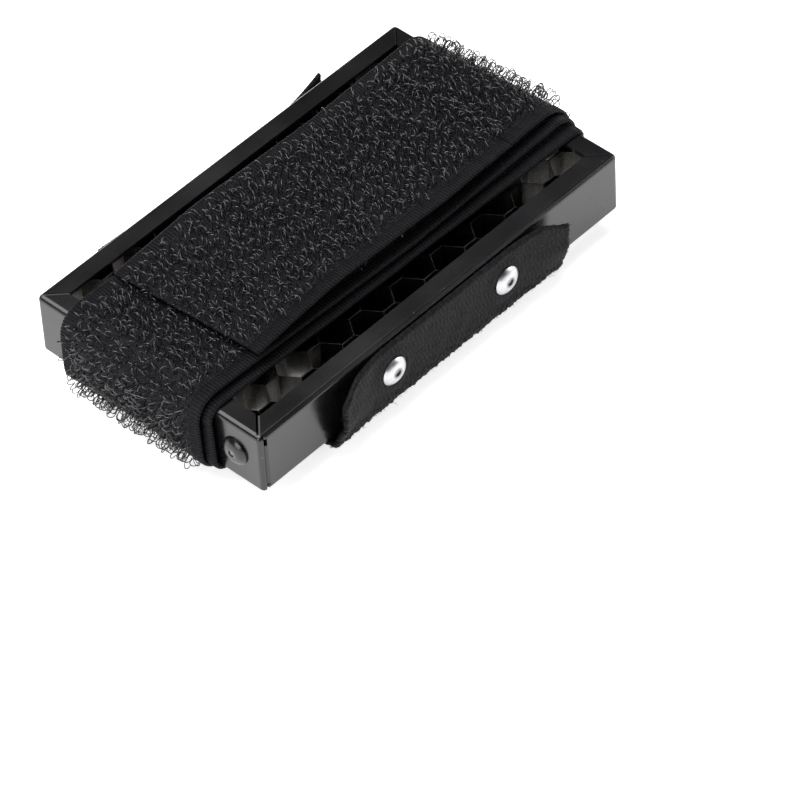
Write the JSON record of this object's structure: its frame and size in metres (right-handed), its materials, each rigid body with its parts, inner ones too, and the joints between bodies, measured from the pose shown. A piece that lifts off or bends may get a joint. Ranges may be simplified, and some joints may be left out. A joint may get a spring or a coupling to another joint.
{
  "type": "speedlight honeycomb grid",
  "caption": "Shallow rectangular honeycomb light grid in a folded steel frame, with riveted loop fabric tabs and a hook tape strap wound round it.",
  "frame": {"origin": "on the surface that the packed grid lies on, under the middle of the frame", "axes": "+X along the frame's long walls, +Y from the near wall to the far wall, +Z from the surface up through the core"},
  "size_m": [0.0969, 0.0598, 0.0228],
  "materials": {
    "frame_paint": "semi-gloss black powder coat",
    "core_foil": "black coated foil",
    "rivet_aluminium": "bright",
    "rivet_black": "black",
    "mandrel_steel": "snapped end",
    "tab_fabric": "black loop fabric, woven back outside",
    "strap_tape": "black woven hook tape, hooks outside"
  },
  "bodies": {
    "grid": {"frame_channel": "frame_paint", "core_ribbon_01": "core_foil", "core_ribbon_02": "core_foil", "core_ribbon_03": "core_foil", "core_ribbon_04": "core_foil", "core_ribbon_05": "core_foil", "core_ribbon_06": "core_foil", "core_ribbon_07": "core_foil", "core_ribbon_08": "core_foil", "core_ribbon_09": "core_foil", "core_ribbon_10": "core_foil", "core_ribbon_11": "core_foil", "core_ribbon_12": "core_foil", "core_ribbon_13": "core_foil", "core_ribbon_14": "core_foil", "core_ribbon_15": "core_foil", "near_rivet_left": "rivet_aluminium", "near_rivet_right": "rivet_aluminium", "far_rivet_left": "rivet_aluminium", "far_rivet_right": "rivet_aluminium", "corner_rivet": "rivet_black", "near_mandrel_left": "mandrel_steel", "near_mandrel_right": "mandrel_steel", "far_mandrel_left": "mandrel_steel", "far_mandrel_right": "mandrel_steel", "corner_mandrel": "mandrel_steel", "near_tab_root": "tab_fabric", "far_tab_root": "tab_fabric", "strap_under_outer": "strap_tape", "strap_under_inner": "strap_tape", "strap_top_inner": "strap_tape", "strap_top_middle": "strap_tape", "strap_top_outer": "strap_tape", "strap_left_outer": "strap_tape", "strap_left_inner": "strap_tape", "strap_right_outer": "strap_tape", "strap_right_middle": "strap_tape", "strap_right_inner": "strap_tape"},
    "near_flap": {"near_tab_flap": "tab_fabric"},
    "far_flap": {"far_tab_flap": "tab_fabric"},
    "strap_end": {"strap_free_end": "strap_tape"}
  },
  "joints": [
    {"name": "near_tab_fold", "type": "hinge", "parent": "grid", "child": "near_flap", "pos_m": [0, -0.0265, 0.00385], "axis": [-1, 0, 0], "range_deg": [0, 120]},
    {"name": "far_tab_fold", "type": "hinge", "parent": "grid", "child": "far_flap", "pos_m": [0, 0.0265, 0.00385], "axis": [1, 0, 0], "range_deg": [0, 120]},
    {"name": "strap_peel", "type": "hinge", "parent": "grid", "child": "strap_end", "pos_m": [0, 0, 0.0228], "axis": [0, 1, 0], "range_deg": [0, 120]}
  ]
}
